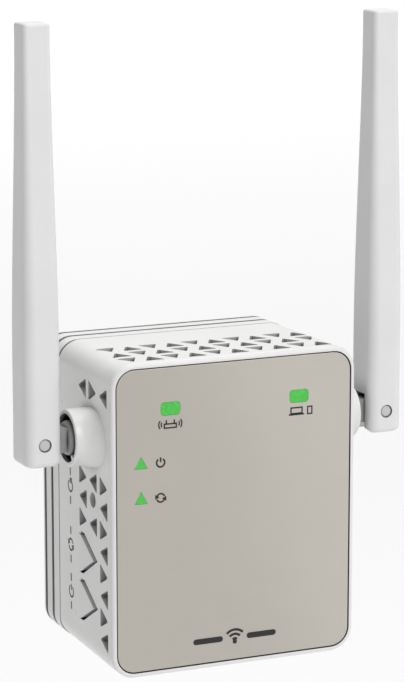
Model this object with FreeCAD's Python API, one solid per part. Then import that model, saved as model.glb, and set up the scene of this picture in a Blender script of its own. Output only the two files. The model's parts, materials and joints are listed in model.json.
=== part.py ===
import FreeCAD, Part
import math
import os

# Plug-in wireless range extender with two swivelling antennas. Millimetres.
# While it is being modelled, y = 0 is the front face and y grows towards the wall,
# x grows to the viewer's right, and z = 0 is the middle of the body's height.
# save() then moves every piece so that the origin lies between the two blades,
# on the flat back face that rests against the wall.

# Body
BODY_W = 56.0
BODY_H = 67.2
BODY_DEPTH = 41.5
BODY_CORNER_R = 5.2
SEAM_DEPTH = 31.5
DRAFT_INSET = 0.45
RIM_FILLET = 0.8
WALL = 1.8
FRONT_WALL_BACK = 3.4

# Front panel, set flush in the rim
PANEL_W = 53.65
PANEL_H = 64.7
PANEL_R = 4.0
PANEL_T = 1.5
PANEL_GAP = 0.22
PANEL_SETBACK = 0.06

# Light windows
BAR_LENS_W = 4.3
BAR_LENS_H = 2.7
BAR_LENS_R = 0.7
BAR_LENS_X = 14.75
BAR_LENS_Z = 23.6
TRI_LENS_W = 2.8
TRI_LENS_H = 2.5
TRI_LENS_X = -21.4
TRI_LENS_BASES = (11.4, 3.9)
LENS_GAP = 0.06

# Vents: rounded triangles
VENT_BASE = 4.4
VENT_HEIGHT = 4.4
VENT_R = 0.3
VENT_DEPTHS = (4.75, 10.8, 16.7)
TOP_VENT_COUNT = 10
TOP_VENT_PITCH = 4.85
SIDE_VENT_LOWEST = -26.2
SIDE_VENT_PITCH = 4.73
SIDE_VENT_ROWS = 8
SIDE_VENT_ABOVE_BOSS = 26.1

# Side buttons and reset hole (left side)
BUTTON_BASE_DEPTH = 19.2
BUTTON_GAP = 0.15
BUTTON_TIP_DEPTH = 11.0
BUTTON_SLOPE = 0.55
BUTTON_TOP = 3.75
BUTTON_BOTTOM = 4.45
BUTTON_DROP = 0.35
OPENING_TIP_DEPTH = 8.4
OPENING_TIP_Z = 0.2
OPENING_BACK = 1.0
OPENING_OVERLAP = 0.5
OPENING_SLOPE = 0.56
OPENING_TOP = 4.5
OPENING_BOTTOM = 4.6
BUTTON_Z = (-10.1, -20.5)
BUTTON_AXIS_DEPTH = 20.6
BUTTON_AXIS_X = 25.1
BUTTON_BAR_R = 0.8
BUTTON_BAR_HALF = 5.1
BUTTON_RIB_DEPTH = 12.8
RESET_Z = 2.9
RESET_DEPTH = 10.9
RESET_R = 1.65

# Antenna swivel (turns about X) and hinge (turns about Y)
SWIVEL_DEPTH = 12.6
SWIVEL_Z = 16.4
BOSS_R = 6.0
BOSS_MOUTH_R = 5.15
BOSS_END_X = 33.0
BOSS_FLOOR_X = 29.1
SHAFT_R = 3.7
SHAFT_BORE_R = 3.77
SHAFT_INNER_X = 24.2
SHAFT_OUTER_X = 33.7
SHAFT_END_FILLET = 1.2
CLIP_T = 0.8
CLIP_GROOVE_R = 3.0
CLIP_R = 4.9
STOP_LUG_ANGLE = 235.0
STOP_LUG_SPAN = 12.0
STOP_RIB_SPAN = 166.0
STOP_RIB_R = 4.85
STOP_RIB_T = 1.2
HINGE_X = 39.6
TONGUE_HALF_T = 2.2
TONGUE_HALF_H = 2.6
CABLE_CHANNEL = 0.9
HINGE_PIN_R = 1.3
PIN_RUNNING_GAP = 0.05

# Antenna cover
ANTENNA_HALF_W = 4.0
ANTENNA_HALF_D = 5.0
ANTENNA_CORNER_R = 2.3
ANTENNA_TIP_HALF_W = 2.97
ANTENNA_TIP_HALF_D = 3.1
ANTENNA_TIP_CORNER_R = 1.0
ANTENNA_TAPER_START = 16.5
ANTENNA_BELOW_PIN = 4.8
ANTENNA_ABOVE_PIN = 86.6
FORK_GAP = 0.15
FORK_TOP = 3.7
FORK_OUTER = 2.85
FOOT_FILLET = 1.2
TIP_FILLET = 0.6
FOOT_SWEEP_R = 5.5
PIN_RECESS_R = 1.42
PIN_RECESS = 0.45
ANTENNA_BORE_R = 1.7

# Boards
BOARD_T = 1.6
MAIN_BOARD_FRONT = 7.0
MAIN_BOARD_BACK = MAIN_BOARD_FRONT + BOARD_T
POWER_BOARD_FRONT = 29.6
POWER_BOARD_BACK = POWER_BOARD_FRONT + BOARD_T
POWER_BOARD_HOLES = ((-16, 21), (16, 21), (-11, -21), (11, -21))
MAIN_BOARD_HOLES = ((-8, 28), (8, 28), (-13, -26), (13, -26))
COAX_R = 0.57

# Case posts and screws
POST_X = 22.4
POST_Z = 28.0
POST_R = 2.9
POST_START = 19.8
SCREW_R = 1.2
SCREW_HEAD_R = 2.5
SCREW_HEAD_T = 1.7

# Rear cover bands: (start depth, end depth, inset from the body outline)
REAR_WALL = 2.0
REAR_CAVITY_INSET = 3.35
GROOVE_INSET = 1.85
REAR_BANDS = (
    (31.6, 34.8, 0.5),
    (36.2, 39.1, 0.55),
    (40.4, 41.5, 0.6),
)
GROOVES = ((34.8, 36.2), (39.1, 40.4))

# Plug blades
PLUG_Z = 16.6
BLADE_SPACING = 12.7
BLADE_H = 6.35
BLADE_T = 1.5
BLADE_OUT = 16.5
BLADE_SLOT_GAP = 0.1

# Ethernet jack
JACK_W = 15.9
JACK_D = 13.4
JACK_BOTTOM = -33.1
JACK_TOP = -13.0
JACK_PORT_W = 11.8
JACK_PORT_D = 6.9
JACK_PORT_DEEP = 13.5
JACK_LATCH_W = 6.2
JACK_LATCH_D = 1.6
CONTACT_COUNT = 8
CONTACT_PITCH = 1.02

X_AXIS = FreeCAD.Vector(1, 0, 0)
Y_AXIS = FreeCAD.Vector(0, 1, 0)
Z_AXIS = FreeCAD.Vector(0, 0, 1)

os.makedirs("parts", exist_ok=True)


def save(name, shape):
    """Write one piece, moved to the plug's origin."""
    placed = shape.copy()
    placed.translate(FreeCAD.Vector(0, -BODY_DEPTH, -PLUG_Z))
    placed.exportStep("parts/" + name + ".step")


def vec(x, y, z):
    return FreeCAD.Vector(x, y, z)


def box(x0, x1, y0, y1, z0, z1):
    """Box between two corners."""
    return Part.makeBox(x1 - x0, y1 - y0, z1 - z0, vec(x0, y0, z0))


def rod(r, start, end):
    """Round bar from one point to another."""
    line = end - start
    return Part.makeCylinder(r, line.Length, start, line)


def fuse(shapes):
    """One solid from several touching ones."""
    whole = shapes[0]
    if len(shapes) > 1:
        whole = whole.multiFuse(shapes[1:])
    return whole.removeSplitter()


def rounded_wire(half_w, half_h, r, y):
    """Rounded rectangle in the plane of a given depth."""
    side = half_w - r
    top = half_h - r
    diag = r * math.sqrt(0.5)
    edges = []
    corners = ((1, 1), (-1, 1), (-1, -1), (1, -1))
    for i, (sx, sz) in enumerate(corners):
        across = vec(sx * half_w, y, sz * top)
        above = vec(sx * side, y, sz * half_h)
        middle = vec(sx * (side + diag), y, sz * (top + diag))
        first = across if i % 2 == 0 else above
        last = above if i % 2 == 0 else across
        edges.append(Part.Arc(first, middle, last).toShape())
        nx, nz = corners[(i + 1) % 4]
        if i % 2 == 0:
            following = vec(nx * side, y, nz * half_h)
        else:
            following = vec(nx * half_w, y, nz * top)
        edges.append(Part.makeLine(last, following))
    return Part.Wire(edges)


def rounded_block(half_w, half_h, r, y0, y1):
    """Straight block with a rounded rectangular outline."""
    face = Part.Face(rounded_wire(half_w, half_h, r, y0))
    return face.extrude(vec(0, y1 - y0, 0))


def fillet_at_depth(shape, y, r):
    """Round the edges that lie wholly at one depth."""
    chosen = []
    for edge in shape.Edges:
        box_ = edge.BoundBox
        if abs(box_.YMin - y) < 1e-4 and abs(box_.YMax - y) < 1e-4:
            chosen.append(edge)
    return shape.makeFillet(r, chosen)


def triangle_prism(base, height, r, thickness):
    """Triangle in the XY plane, middle at the origin, tip towards -y, standing along z."""
    points = [
        vec(-base / 2, height / 2, 0),
        vec(base / 2, height / 2, 0),
        vec(0, -height / 2, 0),
    ]
    face = Part.Face(Part.makePolygon(points + [points[0]]))
    prism = face.extrude(vec(0, 0, thickness))
    upright = []
    for edge in prism.Edges:
        if edge.BoundBox.ZLength > thickness / 2:
            upright.append(edge)
    return prism.makeFillet(r, upright)


def turned(shape, axis, degrees):
    """Copy of a shape turned about an axis through the origin."""
    copy = shape.copy()
    copy.rotate(vec(0, 0, 0), axis, degrees)
    return copy


def moved(shape, x, y, z):
    """Copy of a shape moved by an offset."""
    copy = shape.copy()
    copy.translate(vec(x, y, z))
    return copy


def mirrored(shape):
    """The same piece for the other side of the body."""
    return shape.mirror(vec(0, 0, 0), X_AXIS)


# Vent cutters: tip towards the front or towards the back, standing along z
VENT_CUT = 6.0
VENT_FRONTWARD = triangle_prism(VENT_BASE, VENT_HEIGHT, VENT_R, VENT_CUT)
VENT_BACKWARD = turned(VENT_FRONTWARD, Z_AXIS, 180)


def side_vent(tip_back):
    """The same cutter standing along x, starting at x = 0."""
    cutter = VENT_BACKWARD if tip_back else VENT_FRONTWARD
    return turned(cutter, Y_AXIS, 90)


def top_vents():
    """Three rows of vents through the top wall."""
    cutters = []
    first_x = -TOP_VENT_PITCH * (TOP_VENT_COUNT - 1) / 2
    for row, depth in enumerate(VENT_DEPTHS):
        for column in range(TOP_VENT_COUNT):
            x = first_x + column * TOP_VENT_PITCH
            cutter = VENT_FRONTWARD if (row + column) % 2 == 0 else VENT_BACKWARD
            cutters.append(moved(cutter, x, depth, BODY_H / 2 - 4))
    return cutters


def bottom_vents():
    """Vents through the bottom wall, either side of the jack."""
    cutters = []
    first_x = -TOP_VENT_PITCH * (TOP_VENT_COUNT - 1) / 2
    for row, depth in enumerate(VENT_DEPTHS):
        for column in range(TOP_VENT_COUNT):
            x = first_x + column * TOP_VENT_PITCH
            if abs(x) < JACK_W / 2 + VENT_BASE:
                continue
            cutter = VENT_FRONTWARD if (row + column) % 2 == 0 else VENT_BACKWARD
            cutters.append(moved(cutter, x, depth, -BODY_H / 2 - 2))
    return cutters


def left_vents():
    """Vents of the left wall: a full front column, and short ones above the buttons."""
    x = -BODY_W / 2 - 2
    cutters = []
    for row in range(SIDE_VENT_ROWS):
        z = SIDE_VENT_LOWEST + row * SIDE_VENT_PITCH
        front = side_vent(row % 2 == 0)
        cutters.append(moved(front, x, VENT_DEPTHS[0], z))
        if row >= SIDE_VENT_ROWS - 3:
            cutters.append(moved(front, x, VENT_DEPTHS[2], z))
            if row != SIDE_VENT_ROWS - 2:
                cutters.append(moved(side_vent(row % 2 == 1), x, VENT_DEPTHS[1], z))
    for column, depth in enumerate(VENT_DEPTHS):
        cutter = side_vent(column % 2 == 0)
        cutters.append(moved(cutter, x, depth, SIDE_VENT_ABOVE_BOSS))
    return cutters


def right_vents():
    """Vents of the right wall: three full columns."""
    x = BODY_W / 2 - 4
    cutters = []
    for column, depth in enumerate(VENT_DEPTHS):
        for row in range(SIDE_VENT_ROWS):
            z = SIDE_VENT_LOWEST + row * SIDE_VENT_PITCH
            cutter = side_vent((row + column) % 2 == 0)
            cutters.append(moved(cutter, x, depth, z))
        above = side_vent(column % 2 == 0)
        cutters.append(moved(above, x, depth, SIDE_VENT_ABOVE_BOSS))
    return cutters


def ellipse_wire(x, depth, half_d, half_z):
    """Ellipse in the plane of a given x, long axis along the depth."""
    ellipse = Part.Ellipse(vec(0, 0, 0), half_d, half_z)
    wire = Part.Wire([ellipse.toShape()])
    wire.rotate(vec(0, 0, 0), Z_AXIS, 90)
    wire.rotate(vec(0, 0, 0), Y_AXIS, 90)
    wire.translate(vec(x, depth, SWIVEL_Z))
    return wire


def antenna_boss():
    """Left collar with its fairing towards the front rim."""
    sections = [
        ellipse_wire(-26.6, SWIVEL_DEPTH - 2.3, BOSS_R + 2.8, BOSS_R + 0.7),
        ellipse_wire(-28.4, SWIVEL_DEPTH - 1.3, BOSS_R + 1.5, BOSS_R + 0.3),
        ellipse_wire(-30.4, SWIVEL_DEPTH - 0.3, BOSS_R + 0.35, BOSS_R + 0.1),
        ellipse_wire(-BOSS_END_X, SWIVEL_DEPTH, BOSS_R + 0.02, BOSS_R),
    ]
    boss = Part.makeLoft(sections, True, False)
    rim = []
    for edge in boss.Edges:
        if abs(edge.BoundBox.XMin + BOSS_END_X) < 1e-3 and edge.BoundBox.XLength < 1e-3:
            rim.append(edge)
    return boss.makeFillet(0.3, rim)


def ring_sector(inner_r, outer_r, x0, x1, start, span):
    """Part of a ring about the swivel axis, angles from +y towards +z."""
    outer = Part.makeCylinder(outer_r, x1 - x0, vec(0, 0, 0), Z_AXIS, span)
    inner = Part.makeCylinder(inner_r, x1 - x0)
    sector = outer.cut(inner)
    sector.rotate(vec(0, 0, 0), Z_AXIS, start)
    # Local x, y, z become y, z, x
    sector.rotate(vec(0, 0, 0), vec(1, 1, 1), 120)
    sector.translate(vec(x0, SWIVEL_DEPTH, SWIVEL_Z))
    return sector


def arrow_face(tip_depth, tip_z, slope, top, bottom, base_depth):
    """Arrowhead in the YZ plane: tip towards the front, sloping sides, straight root."""
    points = [
        vec(0, tip_depth, tip_z),
        vec(0, tip_depth + (top - tip_z) / slope, top),
        vec(0, base_depth, top),
        vec(0, base_depth, -bottom),
        vec(0, tip_depth + (bottom + tip_z) / slope, -bottom),
    ]
    return Part.Face(Part.makePolygon(points + [points[0]]))


def button_opening():
    """Cutter for a side button's opening, wider above the key than below it."""
    wide = arrow_face(
        OPENING_TIP_DEPTH,
        OPENING_TIP_Z,
        OPENING_SLOPE,
        OPENING_TOP,
        OPENING_BOTTOM,
        BUTTON_BASE_DEPTH - OPENING_BACK,
    )
    wide = wide.extrude(vec(5, 0, 0))
    root = box(
        0,
        5,
        BUTTON_BASE_DEPTH - OPENING_BACK - OPENING_OVERLAP,
        BUTTON_BASE_DEPTH,
        -BUTTON_BOTTOM - BUTTON_GAP,
        BUTTON_TOP + BUTTON_GAP,
    )
    return fuse([wide, root])


def lens_block(half_w, half_h, r, x, z, y0, y1):
    return moved(rounded_block(half_w, half_h, r, y0, y1), x, 0, z)


def triangle_lens(grow, x, base_z, y0, y1):
    """Triangular prism along the depth, tip up."""
    half = TRI_LENS_W / 2 + grow * 1.6
    low = base_z - grow
    high = base_z + TRI_LENS_H + grow * 2.0
    points = [vec(x - half, y0, low), vec(x + half, y0, low), vec(x, y0, high)]
    face = Part.Face(Part.makePolygon(points + [points[0]]))
    return face.extrude(vec(0, y1 - y0, 0))


def lens_holes(y0, y1):
    """Cutters for the four light windows."""
    cutters = []
    for x in (-BAR_LENS_X, BAR_LENS_X):
        cutters.append(
            lens_block(
                BAR_LENS_W / 2 + LENS_GAP,
                BAR_LENS_H / 2 + LENS_GAP,
                BAR_LENS_R + LENS_GAP,
                x,
                BAR_LENS_Z,
                y0,
                y1,
            )
        )
    for base_z in TRI_LENS_BASES:
        cutters.append(triangle_lens(LENS_GAP, TRI_LENS_X, base_z, y0, y1))
    return cutters


def post_web(sx, sz):
    """Two thin webs that tie a corner post to the side and end walls."""
    half_t = 0.8
    xs = sorted((sx * POST_X, sx * (BODY_W / 2 - WALL + 0.3)))
    zs = sorted((sz * POST_Z, sz * (BODY_H / 2 - WALL + 0.3)))
    z_mid = sz * POST_Z
    x_mid = sx * POST_X
    end = SEAM_DEPTH - 2.2
    side = box(xs[0], xs[1], POST_START, end, z_mid - half_t, z_mid + half_t)
    top = box(x_mid - half_t, x_mid + half_t, POST_START, end, zs[0], zs[1])
    return fuse([side, top])


def front_shell():
    """Drafted tub, open at the back, with vents, collars, posts and button lugs."""
    front = rounded_wire(BODY_W / 2, BODY_H / 2, BODY_CORNER_R, 0)
    back = rounded_wire(
        BODY_W / 2 - DRAFT_INSET,
        BODY_H / 2 - DRAFT_INSET,
        BODY_CORNER_R,
        SEAM_DEPTH,
    )
    outer = Part.makeLoft([front, back], True, True)
    outer = fillet_at_depth(outer, 0, RIM_FILLET)
    boss = antenna_boss()
    outer = fuse([outer, boss, mirrored(boss)])
    cavity = rounded_block(
        BODY_W / 2 - WALL, BODY_H / 2 - WALL, 3.4, FRONT_WALL_BACK, SEAM_DEPTH + 1
    )
    recess = rounded_block(
        PANEL_W / 2 + PANEL_GAP,
        PANEL_H / 2 + PANEL_GAP,
        PANEL_R + PANEL_GAP,
        -1,
        PANEL_T + 0.1,
    )
    shell = outer.cut([cavity, recess])
    posts = []
    for sx in (-1, 1):
        for sz in (-1, 1):
            foot = vec(sx * POST_X, POST_START, sz * POST_Z)
            end = vec(sx * POST_X, SEAM_DEPTH, sz * POST_Z)
            posts.append(rod(POST_R, foot, end))
            posts.append(post_web(sx, sz))
        # Floor block of the swivel bearing, inside the side wall
        inner = vec(sx * (BODY_W / 2 - WALL - 0.1), SWIVEL_DEPTH, SWIVEL_Z)
        posts.append(rod(5.3, inner, vec(sx * BOSS_FLOOR_X, SWIVEL_DEPTH, SWIVEL_Z)))
    shell = fuse([shell] + posts)
    cutters = top_vents() + bottom_vents() + left_vents() + right_vents()
    cutters += lens_holes(0, FRONT_WALL_BACK + 1)
    for sx in (-1, 1):
        for sz in (-1, 1):
            deep = vec(sx * POST_X, 21.5, sz * POST_Z)
            mouth = vec(sx * POST_X, SEAM_DEPTH + 1, sz * POST_Z)
            cutters.append(rod(SCREW_R + 0.03, deep, mouth))
        floor = vec(sx * BOSS_FLOOR_X, SWIVEL_DEPTH, SWIVEL_Z)
        end = vec(sx * (BOSS_END_X + 1), SWIVEL_DEPTH, SWIVEL_Z)
        inside = vec(sx * 20, SWIVEL_DEPTH, SWIVEL_Z)
        cutters.append(rod(BOSS_MOUTH_R, floor, end))
        cutters.append(rod(SHAFT_BORE_R, inside, end))
    reset_in = vec(-20, RESET_DEPTH, RESET_Z)
    cutters.append(rod(RESET_R, vec(-BODY_W / 2 - 1, RESET_DEPTH, RESET_Z), reset_in))
    for z in BUTTON_Z:
        cutters.append(moved(button_opening(), -BODY_W / 2 - 2, 0, z))
    jack_half = JACK_W / 2 + 0.15
    cutters.append(
        box(
            -jack_half,
            jack_half,
            MAIN_BOARD_BACK,
            MAIN_BOARD_BACK + JACK_D + 0.15,
            -BODY_H / 2 - 1,
            -BODY_H / 2 + 4,
        )
    )
    shell = shell.cut(cutters)
    extras = []
    # Lugs that carry the button bars
    gap_middle = (BUTTON_Z[0] + BUTTON_Z[1]) / 2
    spread = BUTTON_Z[0] - gap_middle
    for z in (gap_middle + 2 * spread, gap_middle, gap_middle - 2 * spread):
        lug = box(
            -BODY_W / 2 + 1.0,
            -BUTTON_AXIS_X + 1.6,
            BUTTON_AXIS_DEPTH - 1.6,
            BUTTON_AXIS_DEPTH + 1.6,
            z - 0.7,
            z + 0.7,
        )
        hole = rod(
            BUTTON_BAR_R + PIN_RUNNING_GAP,
            vec(-BUTTON_AXIS_X, BUTTON_AXIS_DEPTH, z - 2),
            vec(-BUTTON_AXIS_X, BUTTON_AXIS_DEPTH, z + 2),
        )
        extras.append(lug.cut(hole))
    # Stop lugs in the collars
    lug_start = STOP_LUG_ANGLE - STOP_LUG_SPAN / 2
    for x0, x1 in (
        (-BOSS_END_X + 0.2, -BOSS_FLOOR_X + 0.2),
        (BOSS_FLOOR_X - 0.2, BOSS_END_X - 0.2),
    ):
        extras.append(
            ring_sector(
                SHAFT_R + 0.35, BOSS_MOUTH_R + 0.3, x0, x1, lug_start, STOP_LUG_SPAN
            )
        )
    return fuse([shell] + extras)


def front_panel():
    """Thin plate flush with the rim, pierced for the lights."""
    plate = rounded_block(PANEL_W / 2, PANEL_H / 2, PANEL_R, PANEL_SETBACK, PANEL_T)
    plate = fillet_at_depth(plate, PANEL_SETBACK, 0.2)
    return plate.cut(lens_holes(-1, PANEL_T + 1))


def bar_lens(x):
    """Rectangular light pipe with a collar behind the shell's front wall."""
    half_w = BAR_LENS_W / 2
    half_h = BAR_LENS_H / 2
    pipe = lens_block(half_w, half_h, BAR_LENS_R, x, BAR_LENS_Z, PANEL_SETBACK, 6.0)
    collar = lens_block(
        half_w + 0.8,
        half_h + 0.8,
        BAR_LENS_R + 0.8,
        x,
        BAR_LENS_Z,
        FRONT_WALL_BACK,
        FRONT_WALL_BACK + 0.8,
    )
    return fuse([pipe, collar])


def tri_lens(base_z):
    """Triangular light pipe with a square collar."""
    pipe = triangle_lens(0, TRI_LENS_X, base_z, PANEL_SETBACK, 6.0)
    middle = base_z + TRI_LENS_H / 2
    collar = box(
        TRI_LENS_X - 2.2,
        TRI_LENS_X + 2.2,
        FRONT_WALL_BACK,
        FRONT_WALL_BACK + 0.8,
        middle - 2.2,
        middle + 2.2,
    )
    return fuse([pipe, collar])


def rear_cover():
    """Three bands parted by two grooves, with a lip, screw wells and blade slots."""
    half_w = BODY_W / 2
    half_h = BODY_H / 2
    solids = []
    for start, end, inset in REAR_BANDS:
        band = rounded_block(
            half_w - inset, half_h - inset, BODY_CORNER_R - inset, start, end
        )
        if end == BODY_DEPTH:
            band = fillet_at_depth(band, end, 0.6)
        solids.append(band)
    for start, end in GROOVES:
        solids.append(
            rounded_block(
                half_w - GROOVE_INSET,
                half_h - GROOVE_INSET,
                BODY_CORNER_R - GROOVE_INSET,
                start - 0.3,
                end + 0.3,
            )
        )
    # Lip that enters the front shell
    solids.append(
        rounded_block(
            half_w - WALL - 0.12,
            half_h - WALL - 0.12,
            3.3,
            SEAM_DEPTH - 1.8,
            SEAM_DEPTH + 1,
        )
    )
    cover = fuse(solids)
    cavity = rounded_block(
        half_w - REAR_CAVITY_INSET,
        half_h - REAR_CAVITY_INSET,
        2.0,
        SEAM_DEPTH - 3,
        BODY_DEPTH - REAR_WALL,
    )
    cover = cover.cut(cavity)
    wells = []
    cutters = []
    for sx in (-1, 1):
        for sz in (-1, 1):
            front = vec(sx * POST_X, SEAM_DEPTH + 0.1, sz * POST_Z)
            lip_front = vec(sx * POST_X, SEAM_DEPTH - 2.5, sz * POST_Z)
            back = vec(sx * POST_X, BODY_DEPTH - 0.5, sz * POST_Z)
            outside = vec(sx * POST_X, BODY_DEPTH + 1, sz * POST_Z)
            seat = vec(sx * POST_X, BODY_DEPTH - 3.0, sz * POST_Z)
            wells.append(rod(3.6, front, back))
            cutters.append(rod(POST_R + 0.15, lip_front, front))
            cutters.append(rod(SCREW_R + 0.2, front, outside))
            cutters.append(rod(SCREW_HEAD_R + 0.3, seat, outside))
    for x, z in POWER_BOARD_HOLES:
        foot = vec(x, POWER_BOARD_BACK, z)
        top = vec(x, BODY_DEPTH - REAR_WALL + 0.5, z)
        wells.append(rod(2.4, foot, top))
        cutters.append(rod(0.8, vec(x, POWER_BOARD_BACK - 1, z), vec(x, 36.5, z)))
    for sx in (-1, 1):
        x = sx * BLADE_SPACING / 2
        half_t = BLADE_T / 2 + BLADE_SLOT_GAP
        half_z = BLADE_H / 2 + BLADE_SLOT_GAP
        cutters.append(
            box(x - half_t, x + half_t, 38, 43, PLUG_Z - half_z, PLUG_Z + half_z)
        )
    # Shallow recess of the rating label
    cutters.append(box(-16, 16, BODY_DEPTH - 0.15, BODY_DEPTH + 1, -20, 0))
    cover = fuse([cover] + wells)
    return cover.cut(cutters)


def blades():
    """Two flat plug blades with bevelled tips, holes, and narrow soldered tails."""
    pair = []
    tip = BODY_DEPTH + BLADE_OUT
    for sx in (-1, 1):
        x = sx * BLADE_SPACING / 2
        blade = box(
            x - BLADE_T / 2,
            x + BLADE_T / 2,
            34.0,
            tip,
            PLUG_Z - BLADE_H / 2,
            PLUG_Z + BLADE_H / 2,
        )
        end_edges = []
        for edge in blade.Edges:
            if edge.BoundBox.YMin > tip - 1e-4:
                end_edges.append(edge)
        blade = blade.makeChamfer(0.45, end_edges)
        hole_y = BODY_DEPTH + 11.7
        hole = rod(1.6, vec(x - 3, hole_y, PLUG_Z), vec(x + 3, hole_y, PLUG_Z))
        blade = blade.cut(hole)
        tail = box(x - 0.5, x + 0.5, 29.2, 34.5, PLUG_Z - 1.2, PLUG_Z + 1.2)
        pair.append(fuse([blade, tail]))
    return Part.makeCompound(pair)


def blade_carrier():
    """Block behind the rear wall that grips both blades."""
    block = box(-11, 11, 34.6, BODY_DEPTH - REAR_WALL - 0.05, PLUG_Z - 5.5, PLUG_Z + 5.5)
    long_edges = []
    for edge in block.Edges:
        if edge.BoundBox.YLength > 2:
            long_edges.append(edge)
    block = block.makeFillet(1.2, long_edges)
    slots = []
    for sx in (-1, 1):
        x = sx * BLADE_SPACING / 2
        slots.append(
            box(
                x - BLADE_T / 2 - 0.03,
                x + BLADE_T / 2 + 0.03,
                30,
                45,
                PLUG_Z - BLADE_H / 2 - 0.03,
                PLUG_Z + BLADE_H / 2 + 0.03,
            )
        )
    return block.cut(slots)


def case_screws():
    """Four cross-recess screws that hold the rear cover to the posts."""
    screws = []
    for sx in (-1, 1):
        for sz in (-1, 1):
            x = sx * POST_X
            z = sz * POST_Z
            seat = BODY_DEPTH - 3.0
            shank = rod(SCREW_R, vec(x, 23, z), vec(x, seat + 0.5, z))
            head = rod(SCREW_HEAD_R, vec(x, seat, z), vec(x, seat + SCREW_HEAD_T, z))
            screw = fuse([shank, head])
            top = seat + SCREW_HEAD_T
            wide = box(x - 1.5, x + 1.5, top - 0.9, top + 1, z - 0.3, z + 0.3)
            tall = box(x - 0.3, x + 0.3, top - 0.9, top + 1, z - 1.5, z + 1.5)
            screws.append(screw.cut([wide, tall]))
    return Part.makeCompound(screws)


def small_screw(x, z, head_front, length):
    """Small board screw with its head towards the front."""
    under = head_front + 0.9
    head = rod(1.6, vec(x, head_front, z), vec(x, under, z))
    shank = rod(0.75, vec(x, head_front, z), vec(x, under + length, z))
    return fuse([head, shank])


def power_board():
    """Rear board, slotted for the blade tails."""
    board = box(-24.3, 24.3, POWER_BOARD_FRONT, POWER_BOARD_BACK, -24.1, 24.1)
    cutters = []
    for sx in (-1, 1):
        x = sx * BLADE_SPACING / 2
        cutters.append(
            box(x - 0.6, x + 0.6, 28, 33, PLUG_Z - 1.3, PLUG_Z + 1.3)
        )
    for x, z in POWER_BOARD_HOLES:
        cutters.append(rod(0.9, vec(x, 28, z), vec(x, 33, z)))
    return board.cut(cutters)


def power_board_screws():
    """Screws of the power board, heads on its front side."""
    screws = []
    for x, z in POWER_BOARD_HOLES:
        screws.append(small_screw(x, z, POWER_BOARD_FRONT - 0.9, 4.5))
    return Part.makeCompound(screws)


def main_board():
    """Front board with rounded corners and screw holes."""
    board = rounded_block(24.8, 31.0, 3.2, MAIN_BOARD_FRONT, MAIN_BOARD_BACK)
    cutters = []
    for x, z in MAIN_BOARD_HOLES:
        cutters.append(rod(0.9, vec(x, 6, z), vec(x, 10, z)))
    return board.cut(cutters)


def main_board_supports():
    """Spacers between the front wall and the main board, drilled for screws."""
    spacers = []
    for x, z in MAIN_BOARD_HOLES:
        spacer = rod(
            2.1, vec(x, FRONT_WALL_BACK, z), vec(x, MAIN_BOARD_FRONT, z)
        )
        spacers.append(spacer.cut(rod(0.8, vec(x, 3.6, z), vec(x, 8, z))))
    return Part.makeCompound(spacers)


def main_board_screws():
    """Screws of the main board, heads on its back side."""
    screws = []
    for x, z in MAIN_BOARD_HOLES:
        head = rod(1.6, vec(x, MAIN_BOARD_BACK, z), vec(x, MAIN_BOARD_BACK + 0.9, z))
        shank = rod(0.75, vec(x, 4.2, z), vec(x, MAIN_BOARD_BACK + 0.4, z))
        screws.append(fuse([head, shank]))
    return Part.makeCompound(screws)


def leds():
    """Four light emitters behind the light pipes."""
    chips = []
    spots = [(-BAR_LENS_X, BAR_LENS_Z), (BAR_LENS_X, BAR_LENS_Z)]
    for base_z in TRI_LENS_BASES:
        spots.append((TRI_LENS_X, base_z + TRI_LENS_H / 2))
    for x, z in spots:
        chips.append(box(x - 0.8, x + 0.8, 6.2, MAIN_BOARD_FRONT, z - 0.6, z + 0.6))
    return Part.makeCompound(chips)


def rf_shield():
    """Stamped can over the radio, with pressed slots."""
    can = box(-11, 11, MAIN_BOARD_BACK, MAIN_BOARD_BACK + 2.6, -8, 12)
    upright = []
    for edge in can.Edges:
        if edge.BoundBox.YLength > 2:
            upright.append(edge)
    can = can.makeFillet(1.0, upright)
    hollow = box(-10.7, 10.7, MAIN_BOARD_BACK - 1, MAIN_BOARD_BACK + 2.3, -7.7, 11.7)
    holes = []
    for column in range(5):
        for row in range(4):
            x = -7.2 + column * 3.6
            z = -4.0 + row * 4.0
            holes.append(rod(0.6, vec(x, 9, z), vec(x, 12, z)))
    return can.cut([hollow] + holes)


def processor():
    """Main chip under the shield."""
    return box(-6, 6, MAIN_BOARD_BACK, MAIN_BOARD_BACK + 1.1, -4, 8)


def memory_chips():
    """Two flat packages beside the shield."""
    lower = box(12.5, 19.0, MAIN_BOARD_BACK, MAIN_BOARD_BACK + 1.0, -6, 2)
    upper = box(12.5, 19.0, MAIN_BOARD_BACK, MAIN_BOARD_BACK + 1.0, 4, 9)
    return Part.makeCompound([lower, upper])


def jack_body():
    """Socket housing, open downwards, with a latch groove away from the board."""
    depth0 = MAIN_BOARD_BACK
    half = JACK_W / 2
    body = box(-half, half, depth0, depth0 + JACK_D, JACK_BOTTOM, JACK_TOP)
    port_y = depth0 + 2.2
    port = box(
        -JACK_PORT_W / 2,
        JACK_PORT_W / 2,
        port_y,
        port_y + JACK_PORT_D,
        JACK_BOTTOM - 1,
        JACK_BOTTOM + JACK_PORT_DEEP,
    )
    latch_y = port_y + JACK_PORT_D
    latch = box(
        -JACK_LATCH_W / 2,
        JACK_LATCH_W / 2,
        latch_y - 0.1,
        latch_y + JACK_LATCH_D,
        JACK_BOTTOM - 1,
        JACK_BOTTOM + JACK_PORT_DEEP,
    )
    key = box(
        -1.7,
        1.7,
        latch_y + JACK_LATCH_D - 0.1,
        latch_y + JACK_LATCH_D + 1.3,
        JACK_BOTTOM - 1,
        JACK_BOTTOM + 9,
    )
    return body.cut([port, latch, key])


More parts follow.
